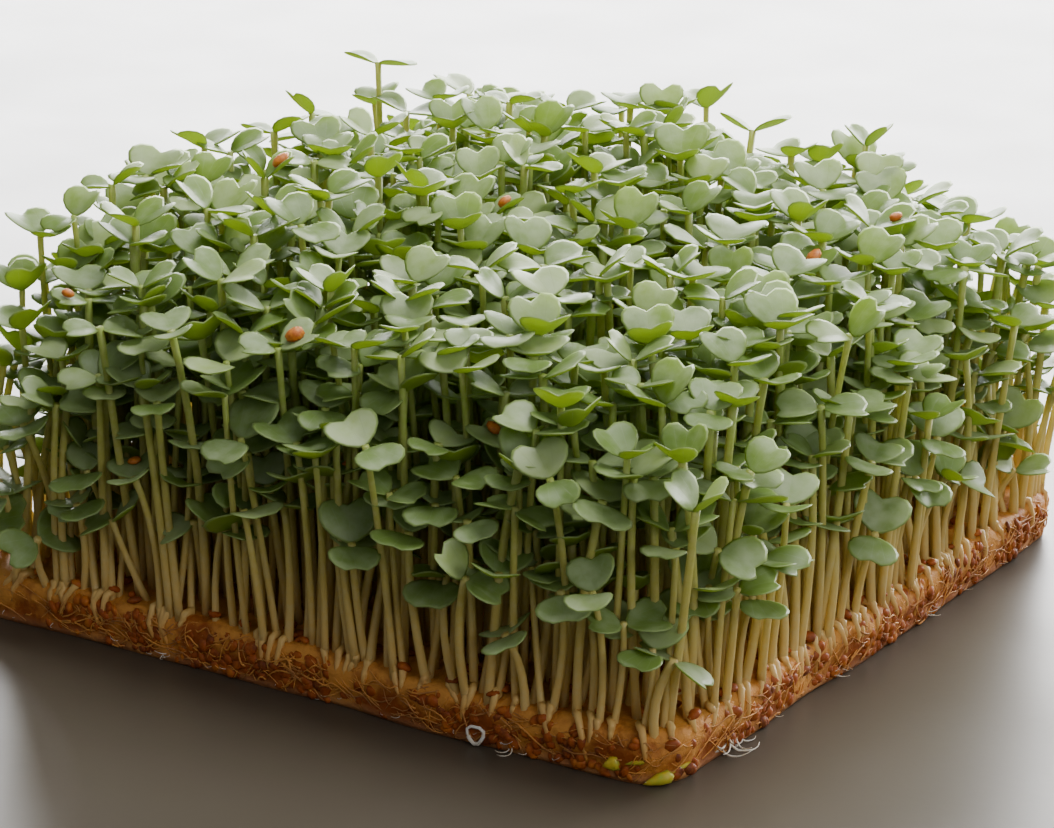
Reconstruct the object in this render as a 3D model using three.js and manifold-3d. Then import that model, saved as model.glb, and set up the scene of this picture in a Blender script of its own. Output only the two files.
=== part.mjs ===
// A square mat of salad microgreens, as it comes out of its growing tray.
//
// The seedlings stand on a mat of their own matted roots, fibres and spent seed hulls. Each tuft of
// seedlings shares one root crown, which sits in a plain pocket in the top of the mat. A seedling is a
// pale stem with two seed leaves, each of them broad, notched at the tip and folded along its midrib.
//
// Millimetres, +Z up. The origin is at the middle of the mat's flat underside. The mat's sides run
// along X and Y.

import * as THREE from "three";
import { mergeVertices } from "three/addons/utils/BufferGeometryUtils.js";
import Module from "manifold-3d";

// Root mat
const MAT_SIDE = 126; // where it is narrowest
const MAT_THICKNESS = 8;
const MAT_CORNER_RADIUS = 7;
const MAT_EDGE_ROUND = 1.2; // how far the sides are rounded, top and bottom
const MAT_EDGE_WANDER = 1.5; // how far the torn edge wanders outwards
const POINTS_PER_SIDE = 10; // of the outline, along each straight side
const POINTS_PER_CORNER = 2; // between two sides

// Root crowns and their pockets
const CROWNS_PER_SIDE = 6;
const CROWN_PITCH = 20.4;
const CROWN_SHIFT = 0.7; // how far a crown is off its row
const CROWN_RADIUS = 9.1;
const CROWN_BASE_Z = 4;
const CROWN_EDGE_Z = 8.3;
const CROWN_DOME = 1.2; // how far the middle stands over the edge
const CROWN_SIDES = 7;
const POCKET_GAP = 0.35;

// Seed hulls caught in the sides of the mat
const HULL_COUNT = 38;
const HULL_LENGTH = 2.8;
const HULL_WIDTH = 2.1;

// Seedlings
const TUFT_ROWS = 3; // the stems of a tuft stand in two files of three
const TUFT_ROW_PITCH = 6.2;
const TUFT_FILE_PITCH = 9.6;
const FOOT_SHIFT = 0.9; // how far a stem is out of line
const FOOT_REACH = 7.3; // how far it may be from the middle of its crown
const STEM_RADIUS = 0.78;
const STEM_SUNK = 1.6; // how deep a stem is rooted in its crown
const LEAF_LENGTH = 7.6;
const LEAF_HALF_WIDTH = 4.8;
const LEAF_THICKNESS = 0.7;
const LEAF_CUP = 1.1; // how far the leaf's sides rise over its midrib

// Canopy
const CANOPY_TOP = 59; // head height in the middle
const CANOPY_FALL = 15; // how much lower the canopy is at the corners
const HEAD_DROP = {
  // how far each kind of seedling keeps below the canopy's top
  tall: { least: -14, span: 0 },
  full: { least: 0, span: 13 },
  short: { least: 13, span: 17 },
};
const SHORT_SHARE = 0.42; // how many of the edge seedlings are short
const TALL_ONE = { column: 0, row: 4, index: 2 }; // one seedling stands out at the back
const EDGE_STARTS = 46; // from the middle, where the stems begin to lean outwards
const LEAN = 3.4; // how far a head may be off its foot, any way
const LEAN_OUT = { least: 2, span: 8 }; // and outwards, at the edge of the mat
const BOW = 5; // how much the stems at the edge may bow

// Clear distances between the points that stand for stems and leaves
const LEAF_TO_LEAF = 3;
const LEAF_TO_STEM = 2.6;
const STEM_TO_STEM = 2.4;
const TRIES = 300;

const SOWING_SEED = 20268;
const HULL_SEED = 707;

// Where the outline of a seed leaf turns: along and across it, as shares of its length and half width,
// and its rise as a share of its cup
const LEAF_OUTLINE = [
  { along: 0.6, across: -1, rise: 1 },
  { along: 1, across: -0.56, rise: 0.75 },
  { along: 0.84, across: 0, rise: 0.15 },
  { along: 1, across: 0.56, rise: 0.75 },
  { along: 0.6, across: 1, rise: 1 },
];

// Points of a leaf that its distance from others is measured from, in the same shares
const LEAF_PROBES = [
  [0.3, 0],
  [0.68, 0],
  [0.56, -0.74],
  [0.56, 0.74],
  [0.88, -0.5],
  [0.88, 0.5],
];
const STEM_PROBES = 20;

const wasm = await Module();
wasm.setup();

// Materials
const matMaterial = new THREE.MeshStandardMaterial({ color: 0x9a6a35, roughness: 0.85, metalness: 0 });
const seedlingMaterial = new THREE.MeshStandardMaterial({ color: 0x6f9152, roughness: 0.55, metalness: 0 });

// The same numbers each time, between 0 and 1
function makeRandom(seed) {
  let state = seed;
  return () => {
    state = (state * 16807) % 2147483647;
    return state / 2147483647;
  };
}

// Solids and geometries

function solidOf(geometry) {
  const bare = geometry.clone();
  bare.deleteAttribute("normal");
  bare.deleteAttribute("uv");
  const merged = mergeVertices(bare, 1e-4);
  return new wasm.Manifold(
    new wasm.Mesh({
      numProp: 3,
      vertProperties: merged.attributes.position.array,
      triVerts: new Uint32Array(merged.index.array),
    }),
  );
}

function meshOf(solid, name, material) {
  const made = solid.getMesh();
  const geometry = new THREE.BufferGeometry();
  geometry.setAttribute("position", new THREE.BufferAttribute(made.vertProperties, 3));
  geometry.setIndex(new THREE.BufferAttribute(made.triVerts, 1));
  geometry.computeVertexNormals();
  const mesh = new THREE.Mesh(geometry, material);
  mesh.name = name;
  return mesh;
}

// Sowing: where each crown and seedling stands

function canopyHeight(x, y) {
  const share = Math.hypot(x, y) / (MAT_SIDE * Math.SQRT1_2);
  return CANOPY_TOP - CANOPY_FALL * share ** 4;
}

// 0 inside the mat, rising to 1 at its edge
function edgeShare(x, y) {
  const reach = Math.max(Math.abs(x), Math.abs(y));
  return Math.min(1, Math.max(0, (reach - EDGE_STARTS) / (MAT_SIDE / 2 - EDGE_STARTS)));
}

// A seedling from its foot to its head, with its leaves' own directions
function makeSeedling(foot, head, azimuth, rises, scale, bow) {
  const bend = new THREE.Vector3(
    foot.x + (head.x - foot.x) * 0.35 + bow.x,
    foot.y + (head.y - foot.y) * 0.35 + bow.y,
    foot.z + (head.z - foot.z) * 0.55,
  );
  const up = head.clone().sub(bend).normalize();
  const level = new THREE.Vector3(Math.cos(azimuth), Math.sin(azimuth), 0);
  const along = level.clone().addScaledVector(up, -level.dot(up)).normalize();
  const across = up.clone().cross(along);
  const leaves = [1, -1].map((side, i) => ({
    out: along.clone().multiplyScalar(side * Math.cos(rises[i])).addScaledVector(up, Math.sin(rises[i])),
    across: across.clone().multiplyScalar(side),
    normal: along.clone().multiplyScalar(-side * Math.sin(rises[i])).addScaledVector(up, Math.cos(rises[i])),
    length: LEAF_LENGTH * scale * (i ? 0.9 : 1),
    halfWidth: LEAF_HALF_WIDTH * scale * (i ? 0.9 : 1),
  }));
  return { foot, bend, head, up, along, across, azimuth, leaves };
}

function leafPoint(seedling, leaf, along, across, rise) {
  return seedling.head
    .clone()
    .addScaledVector(leaf.out, along * leaf.length)
    .addScaledVector(leaf.across, across * leaf.halfWidth)
    .addScaledVector(leaf.normal, rise * LEAF_CUP);
}

function stemPoint(seedling, share) {
  const { foot, bend, head } = seedling;
  const back = 1 - share;
  return new THREE.Vector3()
    .addScaledVector(foot, back * back)
    .addScaledVector(bend, 2 * back * share)
    .addScaledVector(head, share * share);
}

function addProbes(seedling) {
  seedling.leafProbes = seedling.leaves.flatMap((leaf) =>
    LEAF_PROBES.map(([along, across]) => leafPoint(seedling, leaf, along, across, across * across)),
  );
  seedling.stemProbes = [];
  for (let i = 0; i < STEM_PROBES; i++) {
    seedling.stemProbes.push(stemPoint(seedling, (i + 0.5) / STEM_PROBES));
  }
  return seedling;
}

function apart(points, others, distance) {
  const least = distance * distance;
  return points.every((p) => others.every((q) => p.distanceToSquared(q) >= least));
}

function isClear(seedling, sown) {
  const reach = 4 * LEAF_LENGTH;
  return sown.every((other) => {
    if (Math.abs(other.head.x - seedling.head.x) > reach) return true;
    if (Math.abs(other.head.y - seedling.head.y) > reach) return true;
    return (
      apart(seedling.leafProbes, other.leafProbes, LEAF_TO_LEAF) &&
      apart(seedling.leafProbes, other.stemProbes, LEAF_TO_STEM) &&
      apart(seedling.stemProbes, other.leafProbes, LEAF_TO_STEM) &&
      apart(seedling.stemProbes, other.stemProbes, STEM_TO_STEM)
    );
  });
}

// One try at a seedling from a foot: how it leans, how tall it is and how its leaves turn
function trySeedling(foot, kind, random) {
  const edge = edgeShare(foot.x, foot.y);
  const reach = Math.hypot(foot.x, foot.y) || 1;
  const leanAngle = random() * 2 * Math.PI;
  const lean = LEAN * Math.sqrt(random());
  const outwards = edge * (LEAN_OUT.least + LEAN_OUT.span * random());
  const drop = HEAD_DROP[kind].least + HEAD_DROP[kind].span * random() ** 1.5;
  const head = new THREE.Vector3(
    foot.x + lean * Math.cos(leanAngle) + (outwards * foot.x) / reach,
    foot.y + lean * Math.sin(leanAngle) + (outwards * foot.y) / reach,
    0,
  );
  head.z = canopyHeight(head.x, head.y) - drop;
  const azimuth = random() * Math.PI;
  const rises = [0.05 + 0.45 * random(), 0.05 + 0.45 * random()];
  const scale = 0.9 + 0.2 * random();
  const bow = { x: BOW * edge * (random() - 0.5), y: BOW * edge * (random() - 0.5) };
  return addProbes(makeSeedling(foot, head, azimuth, rises, scale, bow));
}

// Where a stem stands in its crown, in files that run along X or Y
function stemFoot(crown, index, isTurned, random) {
  const row = (index % TUFT_ROWS) - (TUFT_ROWS - 1) / 2;
  const file = index < TUFT_ROWS ? -0.5 : 0.5;
  const inRow = row * TUFT_ROW_PITCH + FOOT_SHIFT * (2 * random() - 1);
  const inFile = file * TUFT_FILE_PITCH + FOOT_SHIFT * (2 * random() - 1);
  const share = Math.min(1, FOOT_REACH / Math.hypot(inRow, inFile));
  const [x, y] = isTurned ? [inRow, inFile] : [inFile, inRow];
  return new THREE.Vector3(crown.x + x * share, crown.y + y * share, CROWN_EDGE_Z - STEM_SUNK);
}

function sow() {
  const random = makeRandom(SOWING_SEED);
  const tufts = [];
  const sown = [];
  for (let row = 0; row < CROWNS_PER_SIDE; row++) {
    for (let column = 0; column < CROWNS_PER_SIDE; column++) {
      const middle = (CROWNS_PER_SIDE - 1) / 2;
      const crown = {
        x: (column - middle) * CROWN_PITCH + CROWN_SHIFT * (2 * random() - 1),
        y: (row - middle) * CROWN_PITCH + CROWN_SHIFT * (2 * random() - 1),
        turn: random() * Math.PI,
      };
      const seedlings = [];
      for (let i = 0; i < 2 * TUFT_ROWS; i++) {
        const foot = stemFoot(crown, i, (row + column) % 2 === 1, random);
        const isTall = i === TALL_ONE.index && column === TALL_ONE.column && row === TALL_ONE.row;
        const isShort = edgeShare(foot.x, foot.y) > 0.3 && random() < SHORT_SHARE;
        const kind = isTall ? "tall" : isShort ? "short" : "full";
        for (let n = 0; n < TRIES; n++) {
          const seedling = trySeedling(foot, kind, random);
          if (!isClear(seedling, sown)) continue;
          seedlings.push(seedling);
          sown.push(seedling);
          break;
        }
      }
      tufts.push({ crown, seedlings });
    }
  }
  return tufts;
}

// Seedling

// Stems bend more, and take more steps, towards the edge of the mat
function stemSteps(foot) {
  const edge = edgeShare(foot.x, foot.y);
  if (edge === 0) return 1;
  return edge < 0.5 ? 2 : 3;
}

// One closed body: a stem of four sides that runs straight into the undersides of the two leaves
function seedlingGeometry(seedling) {
  const points = [];
  const faces = [];
  const add = (point) => points.push(point.x, point.y, point.z) / 3 - 1;
  const flatAlong = new THREE.Vector3(Math.cos(seedling.azimuth), Math.sin(seedling.azimuth), 0);
  const flatAcross = new THREE.Vector3(-flatAlong.y, flatAlong.x, 0);
  const rings = [];
  const steps = stemSteps(seedling.foot);
  for (let step = 0; step <= steps; step++) {
    const isTop = step === steps;
    const centre = stemPoint(seedling, step / steps);
    const a = isTop ? seedling.along : flatAlong;
    const b = isTop ? seedling.across : flatAcross;
    rings.push(
      [[a, 1], [b, 1], [a, -1], [b, -1]].map(([way, sign]) =>
        add(centre.clone().addScaledVector(way, sign * STEM_RADIUS)),
      ),
    );
  }
  for (let step = 0; step < steps; step++) {
    for (let i = 0; i < 4; i++) {
      const [p, q] = [rings[step][i], rings[step][(i + 1) % 4]];
      const [r, s] = [rings[step + 1][(i + 1) % 4], rings[step + 1][i]];
      faces.push(p, q, r, p, r, s);
    }
  }
  const [bottom, top] = [rings[0], rings[steps]];
  faces.push(bottom[0], bottom[2], bottom[1], bottom[0], bottom[3], bottom[2]);

  // top holds the ring's points in turn: first leaf's side, left, second leaf's side, right
  const overWaist = {};
  for (const i of [1, 3]) {
    const under = new THREE.Vector3(...points.slice(3 * top[i], 3 * top[i] + 3));
    overWaist[i] = add(under.addScaledVector(seedling.up, LEAF_THICKNESS));
  }
  seedling.leaves.forEach((leaf, i) => {
    const [start, end, inner] = i ? [1, 3, top[2]] : [3, 1, top[0]];
    const under = LEAF_OUTLINE.map((turn) => leafPoint(seedling, leaf, turn.along, turn.across, turn.rise));
    const over = under.map((point) => point.clone().addScaledVector(leaf.normal, LEAF_THICKNESS));
    const low = [top[start], ...under.map(add), top[end]];
    const high = [overWaist[start], ...over.map(add), overWaist[end]];
    for (const [p, q, r] of [[0, 1, 2], [0, 2, 3], [0, 3, 6], [6, 3, 4], [6, 4, 5]]) {
      faces.push(high[p], high[q], high[r]);
    }
    for (const [p, q, r] of [[0, 1, 2], [0, 2, 3], [6, 3, 4], [6, 4, 5]]) {
      faces.push(low[p], low[r], low[q]);
    }
    faces.push(low[0], inner, low[3], inner, low[6], low[3]);
    for (let n = 0; n < 6; n++) {
      faces.push(low[n], low[n + 1], high[n + 1], low[n], high[n + 1], high[n]);
    }
  });
  const geometry = new THREE.BufferGeometry();
  geometry.setAttribute("position", new THREE.Float32BufferAttribute(points, 3));
  geometry.setIndex(faces);
  return geometry;
}

// Root crown: a low domed plug

function crownGeometry(crown, gap, lowZ, highZ, dome) {
  const height = highZ - lowZ;
  const geometry = new THREE.CylinderGeometry(CROWN_RADIUS + gap, CROWN_RADIUS + gap, height, CROWN_SIDES);
  geometry.rotateX(Math.PI / 2);
  const place = geometry.attributes.position;
  for (let i = 0; i < place.count; i++) {
    const isMiddleOfTop = Math.hypot(place.getX(i), place.getY(i)) < 1e-6 && place.getZ(i) > 0;
    if (isMiddleOfTop) place.setZ(i, place.getZ(i) + dome);
  }
  geometry.rotateZ(crown.turn);
  geometry.translate(crown.x, crown.y, lowZ + height / 2);
  return geometry;
}

function tuft({ crown, seedlings }, number) {
  const plug = solidOf(crownGeometry(crown, 0, CROWN_BASE_Z + POCKET_GAP, CROWN_EDGE_Z, CROWN_DOME));
  const solid = seedlings.reduce((whole, s) => whole.add(solidOf(seedlingGeometry(s))), plug);
  return meshOf(solid, "seedling_tuft_" + String(number).padStart(2, "0"), seedlingMaterial);
}

// Root mat

// How far the torn edge is out of line at an angle round the mat
function edgeWander(angle) {
  const slow = 0.45 * Math.sin(5 * angle + 0.8) + 0.3 * Math.sin(11 * angle + 2.1);
  const quick = 0.25 * Math.sin(17 * angle + 4);
  return MAT_EDGE_WANDER * (0.5 + 0.5 * (slow + quick));
}

function matOutline() {
  const half = MAT_SIDE / 2 - MAT_EDGE_ROUND;
  const straight = half - MAT_CORNER_RADIUS;
  const points = [];
  for (let side = 0; side < 4; side++) {
    const turn = (side * Math.PI) / 2;
    const place = (x, y) => {
      const [px, py] = [x * Math.cos(turn) - y * Math.sin(turn), x * Math.sin(turn) + y * Math.cos(turn)];
      const out = 1 + edgeWander(Math.atan2(py, px)) / Math.hypot(px, py);
      points.push(new THREE.Vector2(px * out, py * out));
    };
    for (let i = 0; i < POINTS_PER_SIDE; i++) {
      place(half, -straight + (2 * straight * i) / (POINTS_PER_SIDE - 1));
    }
    for (let i = 1; i <= POINTS_PER_CORNER; i++) {
      const angle = ((Math.PI / 2) * i) / (POINTS_PER_CORNER + 1);
      place(straight + MAT_CORNER_RADIUS * Math.cos(angle), straight + MAT_CORNER_RADIUS * Math.sin(angle));
    }
  }
  return points;
}

function matSlab() {
  const geometry = new THREE.ExtrudeGeometry(new THREE.Shape(matOutline()), {
    depth: MAT_THICKNESS - 2 * MAT_EDGE_ROUND,
    bevelEnabled: true,
    bevelThickness: MAT_EDGE_ROUND,
    bevelSize: MAT_EDGE_ROUND,
    bevelSegments: 1,
    curveSegments: 1,
  });
  geometry.translate(0, 0, MAT_EDGE_ROUND);
  return solidOf(geometry);
}

// A seed hull, half sunk in the side of the mat at a place between two points of its outline
function seedHull(outline, index, random) {
  const which = Math.floor(((index + 0.2 + 0.6 * random()) / HULL_COUNT) * outline.length);
  const [a, b] = [outline[which], outline[(which + 1) % outline.length]];
  const middle = a.clone().lerp(b, 0.3 + 0.4 * random());
  const away = middle.clone().setLength(MAT_EDGE_ROUND);
  const geometry = new THREE.OctahedronGeometry(1, 0);
  geometry.scale(HULL_LENGTH / 2, HULL_WIDTH / 2, HULL_WIDTH / 2);
  geometry.rotateX(random() * Math.PI);
  geometry.rotateZ(random() * Math.PI);
  const height = MAT_THICKNESS * (0.3 + 0.4 * random());
  geometry.translate(middle.x + away.x, middle.y + away.y, height);
  return solidOf(geometry);
}

function rootMat(tufts) {
  const random = makeRandom(HULL_SEED);
  const outline = matOutline();
  let solid = matSlab();
  for (let i = 0; i < HULL_COUNT; i++) solid = solid.add(seedHull(outline, i, random));
  for (const { crown } of tufts) {
    solid = solid.subtract(solidOf(crownGeometry(crown, POCKET_GAP, CROWN_BASE_Z, MAT_THICKNESS + 1, 0)));
  }
  return meshOf(solid, "root_mat", matMaterial);
}

const tufts = sow();
const microgreens = new THREE.Group();
microgreens.add(rootMat(tufts));
tufts.forEach((one, i) => microgreens.add(tuft(one, i + 1)));

export default microgreens;
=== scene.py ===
# Dresses the CAD frame of a square mat of salad microgreens: seedlings with notched seed leaves,
# the felt of roots that they stand on, its seed hulls and its rootlets.

import functools
import math

import bmesh
import bpy
import numpy as np
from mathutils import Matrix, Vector, noise


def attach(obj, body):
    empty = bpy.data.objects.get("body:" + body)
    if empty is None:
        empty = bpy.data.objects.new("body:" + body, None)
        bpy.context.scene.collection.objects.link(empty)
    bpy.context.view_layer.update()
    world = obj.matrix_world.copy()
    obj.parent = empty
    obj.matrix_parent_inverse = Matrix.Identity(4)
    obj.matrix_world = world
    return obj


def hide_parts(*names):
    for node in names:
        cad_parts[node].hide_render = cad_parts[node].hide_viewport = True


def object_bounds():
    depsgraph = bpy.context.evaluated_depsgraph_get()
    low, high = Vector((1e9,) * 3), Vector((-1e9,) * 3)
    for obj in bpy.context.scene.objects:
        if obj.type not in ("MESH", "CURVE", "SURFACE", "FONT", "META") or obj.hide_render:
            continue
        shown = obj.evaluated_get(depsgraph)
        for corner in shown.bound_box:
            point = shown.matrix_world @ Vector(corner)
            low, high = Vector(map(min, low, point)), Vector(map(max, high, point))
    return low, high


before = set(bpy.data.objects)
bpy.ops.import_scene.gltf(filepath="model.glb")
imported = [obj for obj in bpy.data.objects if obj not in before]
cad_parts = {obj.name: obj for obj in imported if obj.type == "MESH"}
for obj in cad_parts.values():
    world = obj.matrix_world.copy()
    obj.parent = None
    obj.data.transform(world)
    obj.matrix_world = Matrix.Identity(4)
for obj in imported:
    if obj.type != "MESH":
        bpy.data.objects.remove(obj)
CAD_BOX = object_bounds()

bl_info = {
    "name": "Microgreens Mat",
    "version": (1, 0, 0),
    "blender": (4, 5, 0),
    "location": "View3D > Sidebar > Microgreens",
    "description": "Builds the seedlings, root mat, seed hulls and studio of a mat of microgreens",
    "category": "Object",
}

MM = 0.001
BODY = "root"

# The CAD source's own values, in millimetres. Each tuft has to stand where its CAD node stands.
MAT_SIDE = 126
MAT_THICKNESS = 8
MAT_CORNER_RADIUS = 7
MAT_EDGE_WANDER = 1.5
CROWNS_PER_SIDE = 6
CROWN_PITCH = 20.4
CROWN_SHIFT = 0.7
CROWN_EDGE_Z = 8.3
TUFT_ROWS = 3
TUFT_ROW_PITCH = 6.2
TUFT_FILE_PITCH = 9.6
FOOT_SHIFT = 0.9
FOOT_REACH = 7.3
STEM_SUNK = 1.6
LEAF_LENGTH = 7.6
LEAF_HALF_WIDTH = 4.8
LEAF_CUP = 1.1
CANOPY_TOP = 59
CANOPY_FALL = 15
HEAD_DROP = {  # least value and span
    "tall": (-14, 0),
    "full": (0, 13),
    "short": (13, 17),
}
SHORT_SHARE = 0.42
TALL_ONE = (4, 0, 2)  # row, column and place in the tuft
EDGE_STARTS = 46
LEAN = 3.4
LEAN_OUT = (2, 8)
BOW = 5
CLEARANCES = (3, 2.6, 2.4)  # between leaves, between a leaf and a stem, between stems
TRIES = 300
SOWING_SEED = 20268
LEAF_PROBES = np.array(
    [[0.3, 0], [0.68, 0], [0.56, -0.74], [0.56, 0.74], [0.88, -0.5], [0.88, 0.5]]
)
STEM_PROBES = 20

# How broad the felt's lumps and the clusters of hulls are, in millimetres
BROAD_LUMP = 3.2
FINE_LUMP = 1.3
HULL_CLUSTER = 9

# Brings clusters of hulls to the near corner
CLUSTER_SHIFT = Vector((0, 0, 1.1))

# Nearly a full turn, for what only has to turn any way
ANY_TURN = 6.28

# The seedlings that only the visual model has stand closer than the CAD ones
FILL_CLEARANCES = (1.2, 0.8, 1.05)
FILL_TRIES = 12
FILL_EDGE_SHARE = 0.62

# How far a head leans outwards at the edge and how steeply its leaves rise, each as a least value
# and a span, and the size of the leaves
SOWN_HABIT = {"lean_out": LEAN_OUT, "rise": (0.05, 0.45), "size": 1}
FILL_HABIT = {"lean_out": (-1, 7), "rise": (-0.25, 1.15), "size": 0.92}
RIM_HABIT = {"lean_out": (-4, 7), "rise": (-0.3, 1.0), "size": 0.98}

# On the two far sides of the mat the canopy hardly falls
FAR_CANOPY_TOP = 63.5
FAR_CANOPY_FALL = 5


# Settings


def length_field(name, description, millimetres):
    return bpy.props.FloatProperty(
        name=name, description=description, default=millimetres * MM, unit="LENGTH"
    )


def count_field(name, description, default):
    return bpy.props.IntProperty(name=name, description=description, default=default, min=0)


def power_field(name, description, watts):
    return bpy.props.FloatProperty(name=name, description=description, default=watts, unit="POWER")


def colour_field(name, description, default):
    return bpy.props.FloatVectorProperty(
        name=name, description=description, default=default, subtype="COLOR", min=0, max=1
    )


class MatSettings(bpy.types.PropertyGroup):
    cells: count_field("Cells along a side", "Faces along each side of the mat", 112)
    lump: length_field("Lumps", "How far the lumps of the felt stand out", 0.75)
    strands: count_field("Root strands", "Roots that show on the sides of the mat", 720)
    neck_reach: length_field("Neck reach", "How far in from the rim a seedling may have a root neck", 2.6)
    rootlets: count_field("Rootlets", "Fine hairs along the lower edge, besides the bunches", 70)
    side_hulls: count_field("Hulls in the sides", "Seed hulls caught in the sides", 1250)
    top_hulls: count_field("Hulls on top", "Seed hulls lying among the stems", 520)
    hull_length: length_field("Hull length", "Length of a seed hull", 2.4)


class SeedlingSettings(bpy.types.PropertyGroup):
    rim: count_field("Rim seedlings", "Seedlings to try to sow along the rim", 440)
    extra: count_field("Extra seedlings", "Seedlings to try to sow between those of the CAD model", 1700)
    far: count_field("Far seedlings", "Places to try for taller seedlings on the far sides", 1100)
    stem_radius: length_field("Stem radius", "Radius at half height", 0.62)
    blade: length_field("Leaf thickness", "Thickness in the middle of a leaf", 0.62)
    sides: count_field("Leaf sides", "Points round a leaf's outline", 16)


class FinishSettings(bpy.types.PropertyGroup):
    leaf: colour_field("Leaf", "Upper side of a leaf", (0.15, 0.235, 0.05))
    young_leaf: colour_field("Young leaf", "Upper side of some of the leaves", (0.3, 0.42, 0.03))
    # A pale whitish green: the leaf's waxy bloom, made paler so that it also paints the whitish sheen of
    # the light behind
    bloom_and_sheen: colour_field("Bloom_and_sheen", "Waxy bloom on a leaf", (0.5, 0.58, 0.35))
    underside: colour_field("Underside", "Under side of a leaf", (0.27, 0.39, 0.06))
    stem: colour_field("Stem", "Stem below the leaves", (0.64, 0.57, 0.14))
    stem_top: colour_field("Stem top", "Stem under the leaves", (0.34, 0.48, 0.08))
    stem_foot: colour_field("Stem foot", "Stem at the mat", (0.84, 0.57, 0.19))
    roots: colour_field("Roots", "Clean roots", (0.74, 0.32, 0.06))
    felt: colour_field("Felt", "Stained felt between the roots", (0.33, 0.075, 0.008))
    hull: colour_field("Hull", "Seed hulls", (0.34, 0.07, 0.008))


class StageSettings(bpy.types.PropertyGroup):
    floor: colour_field("Floor", "Colour of the floor", (0.072, 0.058, 0.041))
    window_power: power_field("Window light", "Power of the wide light behind", 235)
    top_power: power_field("Top light", "Power of the light overhead", 29)
    front_power: power_field("Front light", "Power of the light in front", 7)
    sky: bpy.props.FloatProperty(
        name="Sky", description="Strength of the light all round", default=0.3, min=0
    )
    lens: bpy.props.FloatProperty(
        name="Lens", description="Focal length in millimetres", default=132.2, min=1
    )


SETTINGS = {
    "microgreens_mat": MatSettings,
    "microgreens_seedlings": SeedlingSettings,
    "microgreens_finish": FinishSettings,
    "microgreens_stage": StageSettings,
}


# Materials


class Shade:
    """A number on its way through a material's nodes."""

    def __init__(self, finish, socket):
        self.finish = finish
        self.socket = socket

    def maths(self, operation, *values):
        inputs = dict(enumerate(values))
        made = self.finish.node("ShaderNodeMath", {"operation": operation}, inputs)
        return Shade(self.finish, made.outputs[0])

    def __add__(self, other):
        return self.maths("ADD", self, other)

    __radd__ = __add__

    def __sub__(self, other):
        return self.maths("SUBTRACT", self, other)

    def __rsub__(self, other):
        return self.maths("SUBTRACT", other, self)

    def __mul__(self, other):
        return self.maths("MULTIPLY", self, other)

    __rmul__ = __mul__

    def __abs__(self):
        return self.maths("ABSOLUTE", self)

    def sine(self):
        return self.maths("SINE", self)

    def angle_from(self, other):
        """The angle of the point that lies self across and other along."""
        return self.maths("ARCTAN2", self, other)

    def step(self, low, high):
        """0 below low, 1 above high, and smooth between them."""
        settings = {"interpolation_type": "SMOOTHSTEP"}
        inputs = {"Value": self, "From Min": low, "From Max": high}
        made = self.finish.node("ShaderNodeMapRange", settings, inputs)
        return Shade(self.finish, made.outputs["Result"])


class Finish:
    """A material that is being put together."""

    def __init__(self, name):
        self.material = bpy.data.materials.new(name)
        self.material.use_nodes = True
        self.tree = self.material.node_tree
        self.tree.nodes.clear()

    def node(self, kind, settings=None, inputs=None):
        """One node of a kind, with its settings made first and then its sockets filled."""
        made = self.tree.nodes.new(kind)
        for name, value in (settings or {}).items():
            setattr(made, name, value)
        for name, value in (inputs or {}).items():
            if isinstance(value, Shade):
                value = value.socket
            if isinstance(value, bpy.types.NodeSocket):
                self.tree.links.new(value, made.inputs[name])
            else:
                made.inputs[name].default_value = value
        return made

    def number(self, node, output):
        return Shade(self, node.outputs[output])

    def place(self):
        """Object coordinates."""
        return self.node("ShaderNodeTexCoord").outputs["Object"]

    def height(self):
        """Height above the floor, in metres."""
        parts = self.node("ShaderNodeSeparateXYZ", None, {"Vector": self.place()})
        return self.number(parts, "Z")

    def noise(self, scale, detail=3.0, roughness=0.55):
        inputs = {"Vector": self.place(), "Scale": scale, "Detail": detail, "Roughness": roughness}
        return self.number(self.node("ShaderNodeTexNoise", None, inputs), 0)

    def blend(self, share, first, second):
        """A colour between two colours."""
        made = self.node("ShaderNodeMix", {"data_type": "RGBA"}, {0: share, 6: first, 7: second})
        return made.outputs[2]

    def bump(self, height, strength, distance):
        inputs = {"Height": height, "Strength": strength, "Distance": distance}
        return self.node("ShaderNodeBump", None, inputs).outputs["Normal"]

    def surface(self, inputs, see_through=0, through=None):
        """The shader and the output. Some of the light may pass through thin parts."""
        shader = self.node("ShaderNodeBsdfPrincipled", None, inputs).outputs["BSDF"]
        if see_through:
            behind = self.node("ShaderNodeBsdfTranslucent", None, {"Color": through})
            mixed = self.node("ShaderNodeMixShader", None, {0: see_through, 1: shader})
            self.tree.links.new(behind.outputs[0], mixed.inputs[2])
            shader = mixed.outputs[0]
        self.node("ShaderNodeOutputMaterial", None, {"Surface": shader})
        return self.material


def opaque(colour):
    return (*colour, 1)


# Stains, streaks and tips that go over the colours in the settings
VEIN = (0.34, 0.42, 0.2, 1)
LEAF_RIM = (0.4, 0.5, 0.24, 1)
STEM_STREAK = (0.74, 0.7, 0.42, 1)
FELT_RUST = (0.36, 0.07, 0.01, 1)
FELT_FOOT = (0.6, 0.27, 0.12, 1)
STRAND_STAIN = (0.42, 0.17, 0.05, 1)
NECK_STAIN = (0.6, 0.3, 0.1, 1)
ROOTLET_CREAM = (0.78, 0.68, 0.52, 1)
ROOTLET_WHITE = (0.9, 0.88, 0.82, 1)
HULL_LIGHT = (0.58, 0.18, 0.02, 1)
HULL_DARK = (0.12, 0.03, 0.01, 1)
HULL_PIT = (0.5, 0.17, 0.03, 1)
LEAF_HULL_ORANGE = (0.72, 0.24, 0.03, 1)
LEAF_HULL_BROWN = (0.48, 0.12, 0.014, 1)
SPROUT_YELLOW = (0.66, 0.5, 0.03, 1)
SPROUT_GREEN = (0.42, 0.5, 0.05, 1)

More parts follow.
